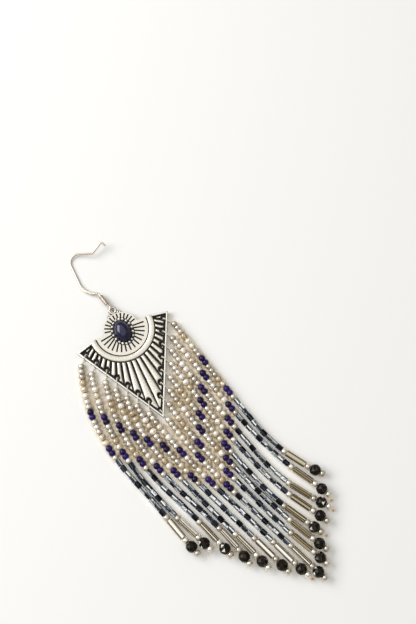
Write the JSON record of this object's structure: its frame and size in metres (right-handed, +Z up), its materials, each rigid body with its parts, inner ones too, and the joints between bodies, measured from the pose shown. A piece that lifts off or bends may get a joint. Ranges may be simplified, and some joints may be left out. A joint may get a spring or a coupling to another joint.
{
  "type": "earring",
  "caption": "Dangling earring: a kite-shaped cast plaque with an oval stone hangs from a hooked ear wire and carries a long fringe of seed, tube, bugle and faceted beads.",
  "frame": {"origin": "middle of the whole earring's box, on the surface it lies on", "axes": "+Y towards the ear hook along the plaque's middle line, +Z up from the surface, +X to the side that the fringe sweeps to"},
  "size_m": [0.057, 0.1242, 0.0042],
  "materials": {
    "antique_silver": "silver-plated casting, worn bright on its raised edges and near black in its recesses",
    "hook_silver": "bright drawn silver wire, partly hammered",
    "lapis": "polished dark blue cabochon",
    "silver_seed_beads": "round glass seed beads with a beige silver coat",
    "crystal_seed_beads": "clear silver-lined glass seed beads",
    "cobalt_seed_beads": "silver-lined cobalt blue glass seed beads",
    "gunmetal_cut_beads": "six-sided cut glass tubes with a dark blue-grey metallic coat",
    "bugle_beads": "champagne silver-lined glass bugle tubes",
    "black_faceted_beads": "fire-polished black glass with a faint bronze sheen",
    "thread": "tan nylon beading thread"
  },
  "bodies": {
    "root": {"ear_hook": "hook_silver", "hook_coil": "hook_silver", "plaque": "antique_silver", "stone": "lapis", "strand_01": "silver_seed_beads", "strand_02": "silver_seed_beads", "strand_03": "silver_seed_beads", "strand_04": "silver_seed_beads", "strand_05": "silver_seed_beads", "strand_06": "silver_seed_beads", "strand_07": "silver_seed_beads", "strand_08": "silver_seed_beads", "strand_09": "silver_seed_beads", "strand_10": "silver_seed_beads", "strand_11": "silver_seed_beads", "strand_12": "silver_seed_beads", "strand_13": "silver_seed_beads", "strand_14": "silver_seed_beads", "strand_15": "silver_seed_beads", "bugle_01": "bugle_beads", "bugle_02": "bugle_beads", "bugle_03": "bugle_beads", "bugle_04": "bugle_beads", "bugle_05": "bugle_beads", "bugle_06": "bugle_beads", "bugle_07": "bugle_beads", "bugle_08": "bugle_beads", "bugle_09": "bugle_beads", "bugle_10": "bugle_beads", "bugle_11": "bugle_beads", "bugle_12": "bugle_beads", "bugle_13": "bugle_beads", "bugle_14": "bugle_beads", "bugle_15": "bugle_beads", "faceted_01": "black_faceted_beads", "faceted_02": "black_faceted_beads", "faceted_03": "black_faceted_beads", "faceted_04": "black_faceted_beads", "faceted_05": "black_faceted_beads", "faceted_06": "black_faceted_beads", "faceted_07": "black_faceted_beads", "faceted_08": "black_faceted_beads", "faceted_09": "black_faceted_beads", "faceted_10": "black_faceted_beads", "faceted_11": "black_faceted_beads", "faceted_12": "black_faceted_beads", "faceted_13": "black_faceted_beads", "faceted_14": "black_faceted_beads", "faceted_15": "black_faceted_beads"}
  },
  "joints": []
}
